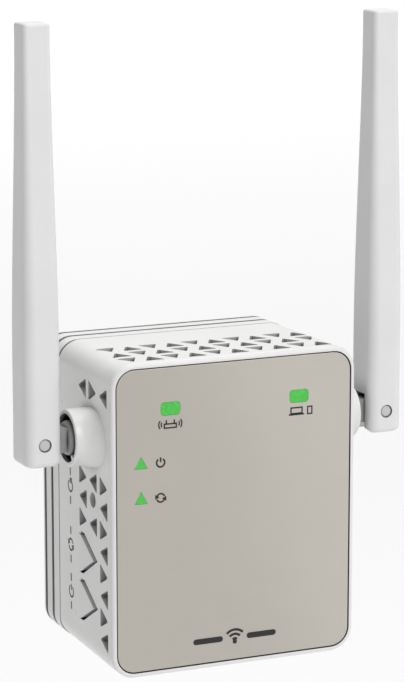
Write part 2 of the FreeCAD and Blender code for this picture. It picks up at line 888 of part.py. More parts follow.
def jack_contacts():
    """Eight slanted spring wires on the board side of the port."""
    port_y = MAIN_BOARD_BACK + 2.2
    wires = []
    first = -CONTACT_PITCH * (CONTACT_COUNT - 1) / 2
    for i in range(CONTACT_COUNT):
        x = first + i * CONTACT_PITCH
        low = vec(x, port_y + 0.3, JACK_BOTTOM + 3.0)
        high = vec(x, port_y + 2.0, JACK_BOTTOM + 12.8)
        wires.append(rod(0.22, low, high))
    return Part.makeCompound(wires)


def switch_body(z, depth):
    """Small side-acting switch standing on the main board, bored for its plunger."""
    body = box(-22.6, -18.6, MAIN_BOARD_BACK, depth + 1.9, z - 2.2, z + 2.2)
    bore = rod(0.85, vec(-24, depth, z), vec(-20.4, depth, z))
    return body.cut(bore)


def switch_plunger(z, depth, reach):
    """Plunger of a switch, reaching towards the side wall."""
    return rod(0.78, vec(-reach, depth, z), vec(-21.3, depth, z))


def side_button(z):
    """Triangular button plate, flush with the side, with its bar and pressing rib."""
    x_face = -BODY_W / 2 + DRAFT_INSET * 0.45
    base_depth = BUTTON_BASE_DEPTH - BUTTON_GAP
    plate = arrow_face(
        BUTTON_TIP_DEPTH, -BUTTON_DROP, BUTTON_SLOPE, BUTTON_TOP, BUTTON_BOTTOM, base_depth
    )
    plate = plate.extrude(vec(WALL, 0, 0))
    plate = moved(plate, x_face, 0, z)
    bar = rod(
        BUTTON_BAR_R,
        vec(-BUTTON_AXIS_X, BUTTON_AXIS_DEPTH, z - BUTTON_BAR_HALF),
        vec(-BUTTON_AXIS_X, BUTTON_AXIS_DEPTH, z + BUTTON_BAR_HALF),
    )
    arm = box(
        -BODY_W / 2 + WALL + 0.15,
        -BUTTON_AXIS_X + 0.5,
        BUTTON_BASE_DEPTH - 3.0,
        BUTTON_AXIS_DEPTH + 0.3,
        z - 2.6,
        z + 2.6,
    )
    rib = box(
        x_face + WALL - 0.3,
        -24.6,
        BUTTON_RIB_DEPTH - 0.5,
        BUTTON_RIB_DEPTH + 0.9,
        z - 0.5,
        z + 0.5,
    )
    spine = box(x_face + WALL - 0.3, -25.4, 12.3, 17.0, z - 0.5, z + 0.5)
    return fuse([plate, bar, arm, spine, rib])


def antenna_swivel():
    """Left knuckle: hollow shaft, stop rib and a slotted tongue."""
    centre_y = SWIVEL_DEPTH
    inner = vec(-SHAFT_INNER_X, centre_y, SWIVEL_Z)
    outer = vec(-SHAFT_OUTER_X, centre_y, SWIVEL_Z)
    shaft = rod(SHAFT_R, inner, outer)
    shaft = fillet_ring(shaft, -SHAFT_OUTER_X, SHAFT_END_FILLET)
    tongue = box(
        -HINGE_X,
        -SHAFT_OUTER_X + 2,
        centre_y - TONGUE_HALF_T,
        centre_y + TONGUE_HALF_T,
        SWIVEL_Z - TONGUE_HALF_H,
        SWIVEL_Z + TONGUE_HALF_H,
    )
    eye = rod(
        TONGUE_HALF_H,
        vec(-HINGE_X, centre_y - TONGUE_HALF_T, SWIVEL_Z),
        vec(-HINGE_X, centre_y + TONGUE_HALF_T, SWIVEL_Z),
    )
    rib = ring_sector(
        SHAFT_R - 0.4,
        STOP_RIB_R,
        -BOSS_FLOOR_X - 0.15 - STOP_RIB_T,
        -BOSS_FLOOR_X - 0.15,
        STOP_LUG_ANGLE + STOP_LUG_SPAN / 2 + 1.0,
        STOP_RIB_SPAN,
    )
    body = fuse([shaft, tongue, eye, rib])
    wall_inner = BODY_W / 2 - WALL
    groove_x1 = -wall_inner + 0.15
    groove_x2 = groove_x1 + CLIP_T + 0.1
    ring = rod(
        SHAFT_R + 1, vec(groove_x1, centre_y, SWIVEL_Z), vec(groove_x2, centre_y, SWIVEL_Z)
    )
    core = rod(
        CLIP_GROOVE_R,
        vec(groove_x1 - 1, centre_y, SWIVEL_Z),
        vec(groove_x2 + 1, centre_y, SWIVEL_Z),
    )
    bore = rod(CABLE_CHANNEL, vec(-20, centre_y, SWIVEL_Z), vec(-HINGE_X, centre_y, SWIVEL_Z))
    channel = box(
        -HINGE_X - 10,
        -HINGE_X + CABLE_CHANNEL,
        centre_y - CABLE_CHANNEL,
        centre_y + CABLE_CHANNEL,
        SWIVEL_Z - CABLE_CHANNEL,
        SWIVEL_Z + 10,
    )
    pin_hole = rod(
        HINGE_PIN_R + PIN_RUNNING_GAP,
        vec(-HINGE_X, centre_y - 5, SWIVEL_Z),
        vec(-HINGE_X, centre_y + 5, SWIVEL_Z),
    )
    return body.cut([ring.cut(core), bore, channel, pin_hole])


def fillet_ring(shape, x, r):
    """Round the circular edge at one x."""
    chosen = []
    for edge in shape.Edges:
        if abs(edge.BoundBox.XMin - x) < 1e-4 and edge.BoundBox.XLength < 1e-4:
            chosen.append(edge)
    return shape.makeFillet(r, chosen)


def swivel_clip():
    """Open ring in the left shaft's groove, inside the wall."""
    x0 = -(BODY_W / 2 - WALL) + 0.2
    centre = vec(x0, SWIVEL_DEPTH, SWIVEL_Z)
    end = vec(x0 + CLIP_T, SWIVEL_DEPTH, SWIVEL_Z)
    ring = rod(CLIP_R, centre, end)
    hole = rod(CLIP_GROOVE_R + 0.05, centre + vec(-1, 0, 0), end + vec(1, 0, 0))
    mouth = box(
        x0 - 1,
        x0 + CLIP_T + 1,
        SWIVEL_DEPTH - 2.6,
        SWIVEL_DEPTH + 2.6,
        SWIVEL_Z - 8,
        SWIVEL_Z,
    )
    return ring.cut([hole, mouth])


def hinge_pins():
    """Two short pins, one through each cheek of the left fork."""
    pins = []
    outer_y = ANTENNA_HALF_D - 0.1
    inner_y = CABLE_CHANNEL + 0.2
    for side in (-1, 1):
        start = vec(-HINGE_X, SWIVEL_DEPTH + side * inner_y, SWIVEL_Z)
        end = vec(-HINGE_X, SWIVEL_DEPTH + side * outer_y, SWIVEL_Z)
        pin = rod(HINGE_PIN_R, start, end)
        rim = []
        for edge in pin.Edges:
            flat = edge.BoundBox.YLength < 1e-4
            if flat and abs(edge.BoundBox.YMin - end.y) < 1e-4:
                rim.append(edge)
        pins.append(pin.makeFillet(0.5, rim))
    return Part.makeCompound(pins)


def antenna_section(half_w, half_d, r, z):
    """Rounded rectangle across the antenna at a height above the pin."""
    wire = rounded_wire(half_w, half_d, r, 0)
    wire.rotate(vec(0, 0, 0), X_AXIS, 90)
    wire.translate(vec(-HINGE_X, SWIVEL_DEPTH, SWIVEL_Z + z))
    return wire


def antenna_half_size(z, low, high):
    """Half size at a height above the pin: steady, then an S-curve up to the tip."""
    t = max((z - ANTENNA_TAPER_START) / (ANTENNA_ABOVE_PIN - ANTENNA_TAPER_START), 0.0)
    blend = t * t * (3 - 2 * t)
    return low + (high - low) * blend


def antenna_cover():
    """Left antenna: tapered blade over a fork that straddles the tongue."""
    sections = []
    steps = 12
    for i in range(steps + 1):
        z = -ANTENNA_BELOW_PIN + (ANTENNA_ABOVE_PIN + ANTENNA_BELOW_PIN) * i / steps
        half_w = antenna_half_size(z, ANTENNA_HALF_W, ANTENNA_TIP_HALF_W)
        half_d = antenna_half_size(z, ANTENNA_HALF_D, ANTENNA_TIP_HALF_D)
        corner = antenna_half_size(z, ANTENNA_CORNER_R, ANTENNA_TIP_CORNER_R)
        sections.append(antenna_section(half_w, half_d, corner, z))
    cover = Part.makeLoft(sections, True, False)
    top_z = SWIVEL_Z + ANTENNA_ABOVE_PIN
    foot_z = SWIVEL_Z - ANTENNA_BELOW_PIN
    tip_edges = []
    for edge in cover.Edges:
        if edge.BoundBox.ZMin > top_z - 1e-3:
            tip_edges.append(edge)
    cover = cover.makeFillet(TIP_FILLET, tip_edges)
    foot_edges = []
    for edge in cover.Edges:
        if edge.BoundBox.ZMax < foot_z + 1e-3:
            foot_edges.append(edge)
    cover = cover.makeFillet(FOOT_FILLET, foot_edges)
    # Round the foot's inner side about the hinge so that it clears the knuckle when folded
    corner_cut = box(
        -HINGE_X, -HINGE_X + 10, SWIVEL_DEPTH - 10, SWIVEL_DEPTH + 10, foot_z - 2, SWIVEL_Z
    )
    keep = rod(
        FOOT_SWEEP_R,
        vec(-HINGE_X, SWIVEL_DEPTH - 12, SWIVEL_Z),
        vec(-HINGE_X, SWIVEL_DEPTH + 12, SWIVEL_Z),
    )
    cover = cover.cut(corner_cut.cut(keep))
    slot = box(
        -HINGE_X - FORK_OUTER,
        -HINGE_X + 10,
        SWIVEL_DEPTH - TONGUE_HALF_T - FORK_GAP,
        SWIVEL_DEPTH + TONGUE_HALF_T + FORK_GAP,
        foot_z - 1,
        SWIVEL_Z + FORK_TOP,
    )
    pin_hole = rod(
        HINGE_PIN_R + 0.005,
        vec(-HINGE_X, SWIVEL_DEPTH - 8, SWIVEL_Z),
        vec(-HINGE_X, SWIVEL_DEPTH + 8, SWIVEL_Z),
    )
    bore = rod(
        ANTENNA_BORE_R,
        vec(-HINGE_X, SWIVEL_DEPTH, SWIVEL_Z + FORK_TOP - 0.5),
        vec(-HINGE_X, SWIVEL_DEPTH, top_z - 3.5),
    )
    recesses = []
    for side in (-1, 1):
        mouth = vec(-HINGE_X, SWIVEL_DEPTH + side * (ANTENNA_HALF_D + 1), SWIVEL_Z)
        seat = vec(-HINGE_X, SWIVEL_DEPTH + side * (ANTENNA_HALF_D - PIN_RECESS), SWIVEL_Z)
        recesses.append(rod(PIN_RECESS_R, seat, mouth))
    return cover.cut([slot, pin_hole, bore] + recesses)


def radiator():
    """Brass sleeve inside the left antenna."""
    low = vec(-HINGE_X, SWIVEL_DEPTH, SWIVEL_Z + 22)
    high = vec(-HINGE_X, SWIVEL_DEPTH, SWIVEL_Z + 76)
    tube = rod(ANTENNA_BORE_R - 0.04, low, high)
    return tube.cut(rod(ANTENNA_BORE_R - 0.4, low, high))


def antenna_coax():
    """Cable inside the left antenna, from the hinge to the sleeve."""
    low = vec(-HINGE_X, SWIVEL_DEPTH, SWIVEL_Z + COAX_R + 0.08)
    high = vec(-HINGE_X, SWIVEL_DEPTH, SWIVEL_Z + 60)
    return rod(COAX_R, low, high)


COAX_START_X = 13.2
COAX_START_DEPTH = 10.1
COAX_BEND_R = 4.0


def body_coax():
    """Left cable from its board socket, in an S-bend to the swivel axis and the hinge."""
    rise = SWIVEL_DEPTH - COAX_START_DEPTH
    bend = math.acos(1 - rise / 2 / COAX_BEND_R)
    reach = COAX_BEND_R * math.sin(bend)
    start = vec(-COAX_START_X, COAX_START_DEPTH, SWIVEL_Z)
    first = vec(-COAX_START_X - 1.5, COAX_START_DEPTH, SWIVEL_Z)
    middle = first + vec(-reach, rise / 2, 0)
    last = first + vec(-2 * reach, rise, 0)
    half = bend / 2
    on_first = first + vec(
        -COAX_BEND_R * math.sin(half), COAX_BEND_R * (1 - math.cos(half)), 0
    )
    on_second = last + vec(
        COAX_BEND_R * math.sin(half), -COAX_BEND_R * (1 - math.cos(half)), 0
    )
    hinge = vec(-HINGE_X, SWIVEL_DEPTH, SWIVEL_Z)
    path = Part.Wire(
        [
            Part.makeLine(start, first),
            Part.Arc(first, on_first, middle).toShape(),
            Part.Arc(middle, on_second, last).toShape(),
            Part.makeLine(last, hinge),
        ]
    )
    profile = Part.Wire([Part.makeCircle(COAX_R, start, vec(-1, 0, 0))])
    cable = path.makePipeShell([profile], True, True)
    ball = Part.makeSphere(COAX_R, hinge)
    return fuse([cable, ball])


def coax_sockets():
    """Miniature board sockets with their right-angle plugs, one per antenna."""
    plugs = []
    for sx in (-1, 1):
        x = sx * 11.6
        base = box(x - 1.5, x + 1.5, MAIN_BOARD_BACK, MAIN_BOARD_BACK + 0.5, 14.9, 17.9)
        barrel = rod(
            1.2,
            vec(x, MAIN_BOARD_BACK + 0.3, SWIVEL_Z),
            vec(x, MAIN_BOARD_BACK + 2.2, SWIVEL_Z),
        )
        ferrule = rod(
            0.8,
            vec(x, COAX_START_DEPTH, SWIVEL_Z),
            vec(sx * (COAX_START_X - 0.02), COAX_START_DEPTH, SWIVEL_Z),
        )
        plugs.append(fuse([base, barrel, ferrule]))
    return Part.makeCompound(plugs)


def transformer_core():
    """Ferrite frame around the transformer's middle leg."""
    frame = box(-9, 9, 15.6, 27.6, -5, 9)
    windows = [box(-6, -2.6, 17.6, 25.6, -6, 10), box(2.6, 6, 17.6, 25.6, -6, 10)]
    return frame.cut(windows)


def transformer_bobbin():
    """Plastic base and flanges under and around the core."""
    return box(-9, 9, 27.6, POWER_BOARD_FRONT, -6.5, 10.5)


def transformer_winding():
    """Wound coil filling the core's windows and bulging past them."""
    left = box(-5.9, -2.7, 17.7, 25.5, -6.2, 10.2)
    right = box(2.7, 5.9, 17.7, 25.5, -6.2, 10.2)
    low = box(-5.9, 5.9, 17.7, 25.5, -6.2, -5.05)
    high = box(-5.9, 5.9, 17.7, 25.5, 9.05, 10.2)
    return fuse([left, right, low, high])


def can_capacitor(x, z, r, height):
    """Upright capacitor with a crimped neck."""
    base = POWER_BOARD_FRONT
    can = rod(r, vec(x, base - height, z), vec(x, base, z))
    neck = rod(r + 1, vec(x, base - 1.9, z), vec(x, base - 1.3, z))
    core = rod(r - 0.35, vec(x, base - 2.5, z), vec(x, base, z))
    return can.cut(neck.cut(core))


def bulk_capacitors():
    return Part.makeCompound(
        [can_capacitor(-17, -6, 4.0, 13.5), can_capacitor(-17, -15.2, 4.0, 13.5)]
    )


def output_capacitors():
    return Part.makeCompound(
        [can_capacitor(16.5, -6, 3.1, 10.5), can_capacitor(16.5, -13.5, 3.1, 10.5)]
    )


def fuse_tube():
    """Line fuse lying on the power board."""
    tube = rod(2.2, vec(-20.5, 27.2, 8), vec(-11.5, 27.2, 8))
    caps = [
        rod(2.35, vec(-21, 27.2, 8), vec(-19, 27.2, 8)),
        rod(2.35, vec(-13, 27.2, 8), vec(-11, 27.2, 8)),
    ]
    return fuse([tube] + caps)


def rectifier():
    return box(12.5, 20.0, 27.0, POWER_BOARD_FRONT, 4.5, 9.5)


def choke():
    """Toroid filter coil standing on the power board."""
    x = 0
    z = -17.5
    ring = Part.makeTorus(4.1, 1.9, vec(x, POWER_BOARD_FRONT - 1.95, z), Y_AXIS)
    return ring


def safety_capacitor():
    return box(-6.5, 6.5, 21.5, POWER_BOARD_FRONT, 19.5, 23.8)


def board_link():
    """Plastic header with four long pins between the boards."""
    x = 21.6
    lower = box(x - 1.3, x + 1.3, 26.6, POWER_BOARD_FRONT, -5.2, 5.2)
    upper = box(x - 1.3, x + 1.3, MAIN_BOARD_BACK, 11.6, -5.2, 5.2)
    pins = []
    for i in range(4):
        z = -3.81 + i * 2.54
        pins.append(box(x - 0.32, x + 0.32, 11.0, 27.0, z - 0.32, z + 0.32))
    return fuse([lower, upper] + pins)


def rating_label():
    """Blank label in its recess on the wall side."""
    return box(-15.9, 15.9, BODY_DEPTH - 0.14, BODY_DEPTH - 0.02, -19.9, -0.1)


# Case
save("front_shell", front_shell())
save("front_panel", front_panel())
save("rear_cover", rear_cover())
save("case_screws", case_screws())
save("rating_label", rating_label())

# Lights
save("uplink_lens", bar_lens(-BAR_LENS_X))
save("client_lens", bar_lens(BAR_LENS_X))
save("power_lens", tri_lens(TRI_LENS_BASES[0]))
save("pairing_lens", tri_lens(TRI_LENS_BASES[1]))
save("leds", leds())

# Plug
save("plug_blades", blades())
save("blade_carrier", blade_carrier())

# Boards and what stands on them
save("main_board", main_board())
save("main_board_spacers", main_board_supports())
save("main_board_screws", main_board_screws())
save("processor", processor())
save("memory_chips", memory_chips())
save("rf_shield", rf_shield())
save("coax_sockets", coax_sockets())
save("ethernet_jack", jack_body())
save("ethernet_contacts", jack_contacts())
save("power_board", power_board())
save("power_board_screws", power_board_screws())
save("transformer_core", transformer_core())
save("transformer_bobbin", transformer_bobbin())
save("transformer_winding", transformer_winding())
save("bulk_capacitors", bulk_capacitors())
save("output_capacitors", output_capacitors())
save("line_fuse", fuse_tube())
save("rectifier", rectifier())
save("filter_choke", choke())
save("safety_capacitor", safety_capacitor())
save("board_link", board_link())

# Buttons and switches
BUTTON_REACH = 24.4
save("pairing_button", side_button(BUTTON_Z[0]))
save("power_button", side_button(BUTTON_Z[1]))
save("pairing_switch", switch_body(BUTTON_Z[0], BUTTON_RIB_DEPTH))
save("power_switch", switch_body(BUTTON_Z[1], BUTTON_RIB_DEPTH))
save("reset_switch", switch_body(RESET_Z, RESET_DEPTH))
save("pairing_plunger", switch_plunger(BUTTON_Z[0], BUTTON_RIB_DEPTH, BUTTON_REACH))
save("power_plunger", switch_plunger(BUTTON_Z[1], BUTTON_RIB_DEPTH, BUTTON_REACH))
save("reset_plunger", switch_plunger(RESET_Z, RESET_DEPTH, BUTTON_REACH))

# Antennas, left and mirrored right
PAIRS = (
    ("antenna_swivel", antenna_swivel()),
    ("swivel_clip", swivel_clip()),
    ("hinge_pins", hinge_pins()),
    ("antenna_cover", antenna_cover()),
    ("radiator", radiator()),
    ("antenna_coax", antenna_coax()),
    ("body_coax", body_coax()),
)
for pair_name, pair_shape in PAIRS:
    save("left_" + pair_name, pair_shape)
    save("right_" + pair_name, mirrored(pair_shape))
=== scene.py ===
import json
import math

import bmesh
import bpy
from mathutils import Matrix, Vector


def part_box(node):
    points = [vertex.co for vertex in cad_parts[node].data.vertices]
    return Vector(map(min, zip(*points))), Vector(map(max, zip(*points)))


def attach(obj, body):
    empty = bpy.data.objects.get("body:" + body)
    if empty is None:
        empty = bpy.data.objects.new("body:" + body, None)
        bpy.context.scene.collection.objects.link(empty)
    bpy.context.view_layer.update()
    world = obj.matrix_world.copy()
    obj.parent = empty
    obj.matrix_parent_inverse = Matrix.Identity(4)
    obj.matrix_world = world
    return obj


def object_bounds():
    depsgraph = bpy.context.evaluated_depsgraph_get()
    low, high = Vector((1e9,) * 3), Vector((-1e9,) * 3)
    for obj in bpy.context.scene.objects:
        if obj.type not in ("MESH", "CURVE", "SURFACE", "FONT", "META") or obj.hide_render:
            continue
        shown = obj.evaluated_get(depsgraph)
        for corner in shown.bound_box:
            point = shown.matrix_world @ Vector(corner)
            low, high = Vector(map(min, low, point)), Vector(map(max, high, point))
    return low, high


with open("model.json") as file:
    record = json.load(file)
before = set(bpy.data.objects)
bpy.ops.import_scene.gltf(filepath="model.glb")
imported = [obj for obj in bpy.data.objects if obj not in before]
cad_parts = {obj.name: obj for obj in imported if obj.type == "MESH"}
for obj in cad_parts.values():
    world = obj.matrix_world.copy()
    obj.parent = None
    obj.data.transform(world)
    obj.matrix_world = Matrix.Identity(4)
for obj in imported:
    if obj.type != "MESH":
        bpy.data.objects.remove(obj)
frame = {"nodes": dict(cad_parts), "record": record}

CAD_BOX = [list(corner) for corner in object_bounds()]
MM = 0.001
NODES = frame["nodes"]


# ---------------------------------------------------------------- materials


class Shader:
    """Small helper around one material's node tree."""

    def __init__(self, name):
        self.material = bpy.data.materials.new(name)
        self.material.use_nodes = True
        self.tree = self.material.node_tree
        self.bsdf = self.tree.nodes["Principled BSDF"]
        self.coords = self.tree.nodes.new("ShaderNodeTexCoord").outputs["Object"]

    def node(self, kind, **inputs):
        made = self.tree.nodes.new(kind)
        for key, value in inputs.items():
            made.inputs[key.replace("_", " ")].default_value = value
        return made

    def link(self, source, target):
        self.tree.links.new(source, target)

    def noise(self, scale, detail=3.0, rough=0.5, stretch=None):
        made = self.node("ShaderNodeTexNoise", Scale=scale, Detail=detail, Roughness=rough)
        if stretch is None:
            self.link(self.coords, made.inputs["Vector"])
        else:
            mapping = self.tree.nodes.new("ShaderNodeMapping")
            mapping.inputs["Scale"].default_value = stretch
            self.link(self.coords, mapping.inputs["Vector"])
            self.link(mapping.outputs["Vector"], made.inputs["Vector"])
        return made.outputs["Fac"]

    def ramp(self, fac, low, high, start=0.3, end=0.7):
        made = self.tree.nodes.new("ShaderNodeValToRGB")
        made.color_ramp.elements[0].position = start
        made.color_ramp.elements[1].position = end
        made.color_ramp.elements[0].color = low
        made.color_ramp.elements[1].color = high
        self.link(fac, made.inputs["Fac"])
        return made.outputs["Color"]

    def span(self, fac, low, high):
        made = self.node("ShaderNodeMapRange", To_Min=low, To_Max=high)
        made.inputs["From Min"].default_value = 0.25
        made.inputs["From Max"].default_value = 0.75
        self.link(fac, made.inputs["Value"])
        return made.outputs["Result"]

    def math(self, operation, first, second):
        made = self.tree.nodes.new("ShaderNodeMath")
        made.operation = operation
        for i, value in enumerate((first, second)):
            if isinstance(value, (int, float)):
                made.inputs[i].default_value = value
            else:
                self.link(value, made.inputs[i])
        return made.outputs["Value"]

    def mix(self, kind, factor, one, two):
        made = self.tree.nodes.new("ShaderNodeMix")
        made.data_type = "RGBA"
        made.blend_type = kind
        if isinstance(factor, float):
            made.inputs["Factor"].default_value = factor
        else:
            self.link(factor, made.inputs["Factor"])
        self.link(one, made.inputs["A"])
        if isinstance(two, tuple):
            made.inputs["B"].default_value = two
        else:
            self.link(two, made.inputs["B"])
        return made.outputs["Result"]

    def painted_crevice_shade(self, colour, distance, dark):
        """Painted shade: darken narrow gaps, grooves and corners by their ambient occlusion."""
        occlusion = self.node("ShaderNodeAmbientOcclusion", Distance=distance)
        occlusion.samples = 8
        flat = self.tree.nodes.new("ShaderNodeNewGeometry").outputs["True Normal"]
        self.link(flat, occlusion.inputs["Normal"])
        crevice_shade = self.ramp(occlusion.outputs["AO"], grey(dark), grey(1.0), 0.25, 0.9)
        return self.mix("MULTIPLY", 1.0, colour, crevice_shade)

    def offsets(self, centre):
        """Distance from a centre along each axis, as three sockets."""
        split = self.tree.nodes.new("ShaderNodeSeparateXYZ")
        self.link(self.coords, split.inputs["Vector"])
        return [self.math("SUBTRACT", split.outputs[axis], centre[axis]) for axis in range(3)]

    def within(self, distance, limit):
        return self.math("LESS_THAN", self.math("ABSOLUTE", distance, 0.0), limit)

    def inside(self, colour, centre, half, tone, corner=None):
        """Painted shade: a darker colour inside a box, whose upright corners may be cut off along a
        slant.
        """
        along, depth, rise = self.offsets(centre)
        mask = self.math("MULTIPLY", self.within(along, half[0]), self.within(depth, half[1]))
        mask = self.math("MULTIPLY", mask, self.within(rise, half[2]))
        if corner is not None:
            reach = self.math(
                "ADD", self.math("ABSOLUTE", along, 0.0), self.math("ABSOLUTE", rise, 0.0)
            )
            mask = self.math("MULTIPLY", mask, self.math("LESS_THAN", reach, corner))
        return self.mix("MIX", mask, colour, tone)

    def bore(self, colour, centre, half_length, radius, tone):
        """Painted shade: a darker colour inside a round hole that runs along X."""
        along, depth, rise = self.offsets(centre)
        squared = self.math(
            "ADD", self.math("MULTIPLY", depth, depth), self.math("MULTIPLY", rise, rise)
        )
        in_radius = self.math("LESS_THAN", squared, radius * radius)
        mask = self.math("MULTIPLY", self.within(along, half_length), in_radius)
        return self.mix("MIX", mask, colour, tone)

    def colour(self, socket):
        self.link(socket, self.bsdf.inputs["Base Color"])

    def roughness(self, socket):
        self.link(socket, self.bsdf.inputs["Roughness"])

    def bump(self, height, strength, distance):
        made = self.node("ShaderNodeBump", Strength=strength, Distance=distance)
        self.link(height, made.inputs["Height"])
        self.link(made.outputs["Normal"], self.bsdf.inputs["Normal"])

    def fixed(self, **values):
        for key, value in values.items():
            self.bsdf.inputs[key.replace("_", " ")].default_value = value


def shade(colour, factor):
    return (colour[0] * factor, colour[1] * factor, colour[2] * factor, 1.0)


def grey(value):
    return (value, value, value, 1.0)


SKIN_DEPTH = 0.2 * MM
FINE_DEPTH = 0.1 * MM
PLASTIC_IOR = 1.5
CREVICE_SHADE_TONE = 0.10


def moulded(name, colour, low, high, grain=0.02, grain_scale=2600.0, gap=0.0, dark=(), bores=()):
    """Moulded plastic: faint flow mottling, uneven gloss and a fine skin texture, with optional
    painted shade inside given boxes, in round holes and in narrow gaps.
    """
    s = Shader(name)
    flow = s.noise(90.0, 4.0)
    tint = s.ramp(flow, shade(colour, 0.975), shade(colour, 1.01))
    # Painted shade inside the given boxes and round holes, and in narrow gaps
    for centre, half, tone, corner in dark:
        tint = s.inside(tint, centre, half, grey(tone), corner)
    for centre, half_length, radius, tone in bores:
        tint = s.bore(tint, centre, half_length, radius, grey(tone))
    if gap:
        tint = s.painted_crevice_shade(tint, gap, CREVICE_SHADE_TONE)
    s.colour(tint)
    s.roughness(s.span(s.noise(420.0, 5.0, 0.6), low, high))
    s.bump(s.noise(grain_scale, 3.0, 0.6), grain, SKIN_DEPTH)
    s.fixed(IOR=PLASTIC_IOR)
    return s.material


# Painted shade and highlight: the panel is darker on its left and lighter on its right, across a
# slanting soft band
PANEL_LEFT_SHADE = (0.865, 0.865, 0.855, 1)
PANEL_SHADE_BAND_START = -20.0 * MM
PANEL_SHADE_BAND_END = 24.0 * MM
PANEL_SHADE_BAND_SLANT = 0.35
FLAKE_LOW = (0.475, 0.445, 0.397, 1)
FLAKE_HIGH = (0.588, 0.556, 0.502, 1)
PANEL_GAP_SHADE_REACH = 0.35 * MM


def metallic_paint(name):
    """Champagne satin paint with metal flake under a thin lacquer, with painted shade on its left, a
    painted highlight on its right and painted shade in its gaps.
    """
    s = Shader(name)
    flake = s.noise(9000.0, 2.0, 0.7)
    cloud = s.noise(60.0, 3.0)
    base = s.ramp(flake, FLAKE_LOW, FLAKE_HIGH, 0.38, 0.62)
    soft = s.ramp(cloud, grey(0.97), grey(1.0))
    tone = s.mix("MULTIPLY", 1.0, base, soft)
    # Painted shade towards the left and painted highlight towards the right, across a slanting band
    along, _, rise = s.offsets((0.0, 0.0, 0.0))
    slope = s.math("ADD", along, s.math("MULTIPLY", rise, PANEL_SHADE_BAND_SLANT))
    painted_sheen = s.node("ShaderNodeMapRange")
    painted_sheen.interpolation_type = "SMOOTHSTEP"
    painted_sheen.inputs["From Min"].default_value = PANEL_SHADE_BAND_START
    painted_sheen.inputs["From Max"].default_value = PANEL_SHADE_BAND_END
    s.link(slope, painted_sheen.inputs["Value"])
    tone = s.mix("MIX", painted_sheen.outputs["Result"], s.mix("MULTIPLY", 1.0, tone, PANEL_LEFT_SHADE), tone)
    # Painted shade in the panel's gaps
    s.colour(s.painted_crevice_shade(tone, PANEL_GAP_SHADE_REACH, 0.25))
    s.roughness(s.span(s.noise(700.0, 4.0), 0.42, 0.50))
    s.bump(flake, 0.03, FINE_DEPTH)
    s.fixed(Metallic=0.55, Coat_Weight=0.25, Coat_Roughness=0.3)
    return s.material


def bare_metal(name, colour, low, high, stretch=(1.0, 1.0, 14.0)):
    """Drawn or stamped metal with fine parallel marks."""
    s = Shader(name)
    marks = s.noise(1800.0, 4.0, 0.7, stretch)
    s.colour(s.ramp(marks, shade(colour, 0.86), shade(colour, 1.0)))
    s.roughness(s.span(marks, low, high))
    s.bump(marks, 0.06, FINE_DEPTH)
    s.fixed(Metallic=1.0)
    return s.material


def lit_lens(name):
    """Tinted clear plastic glowing from the light behind it."""
    s = Shader(name)
    cells = s.noise(1500.0, 2.0)
    s.colour(s.ramp(cells, (0.03, 0.30, 0.04, 1), (0.05, 0.38, 0.06, 1)))
    glow = s.ramp(s.noise(350.0, 1.0), (0.055, 0.38, 0.030, 1), (0.080, 0.46, 0.045, 1))
    s.link(glow, s.bsdf.inputs["Emission Color"])
    s.roughness(s.span(cells, 0.18, 0.30))
    s.fixed(Emission_Strength=0.38, IOR=1.49)
    return s.material


def board(name):
    """Green solder mask over faint copper tracks."""
    s = Shader(name)
    tracks = s.tree.nodes.new("ShaderNodeTexWave")
    tracks.inputs["Scale"].default_value = 420.0
    tracks.inputs["Distortion"].default_value = 14.0
    tracks.inputs["Detail"].default_value = 1.0
    s.link(s.coords, tracks.inputs["Vector"])
    lines = tracks.outputs["Fac"]
    s.colour(s.ramp(lines, (0.012, 0.085, 0.035, 1), (0.03, 0.17, 0.075, 1), 0.45, 0.6))
    s.roughness(s.span(s.noise(900.0), 0.28, 0.42))
    s.bump(lines, 0.1, FINE_DEPTH)
    return s.material


def winding(name):
    """Wound tape with close parallel turns."""
    s = Shader(name)
    turns = s.tree.nodes.new("ShaderNodeTexWave")
    turns.bands_direction = "Z"
    turns.inputs["Scale"].default_value = 900.0
    turns.inputs["Distortion"].default_value = 0.6
    s.link(s.coords, turns.inputs["Vector"])
    lines = turns.outputs["Fac"]
    s.colour(s.ramp(lines, (0.42, 0.27, 0.03, 1), (0.72, 0.50, 0.08, 1)))
    s.roughness(s.span(lines, 0.25, 0.4))
    s.bump(lines, 0.3, SKIN_DEPTH)
    return s.material


SHELL_LOW, SHELL_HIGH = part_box("front_shell")
COVER_LOW, COVER_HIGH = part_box("rear_cover")
MID_Z = (SHELL_LOW[2] + SHELL_HIGH[2]) / 2
HALF_Z = (SHELL_HIGH[2] - SHELL_LOW[2]) / 2

# Painted shade in the room inside the case: behind the front wall, within the side walls and the
# rounded corners
FRONT_WALL = 3.3 * MM
BACK_WALL = 1.9 * MM
SIDE_WALL = 1.7 * MM
CAVITY_HALF_W = 26.3 * MM
CAVITY_CORNER = 57.0 * MM
CAVITY_SHADE_TONE = 0.16
CAVITY_FRONT = SHELL_LOW[1] + FRONT_WALL
CAVITY_BACK = COVER_HIGH[1] - BACK_WALL
CAVITY_SHADE = (
    (0.0, (CAVITY_FRONT + CAVITY_BACK) / 2, MID_Z),
    (CAVITY_HALF_W, (CAVITY_BACK - CAVITY_FRONT) / 2, HALF_Z - SIDE_WALL),
    CAVITY_SHADE_TONE,
    CAVITY_CORNER,
)

# Painted shadow on the edge of the front shell, all round, where the rear cover meets it
SEAM_SHADOW_DEPTH = 0.45 * MM
SEAM_SHADOW_TONE = 0.06
ALL_ROUND = 0.1
SEAM_SHADOW = ((0.0, SHELL_HIGH[1], MID_Z), (ALL_ROUND, SEAM_SHADOW_DEPTH, ALL_ROUND), SEAM_SHADOW_TONE, None)
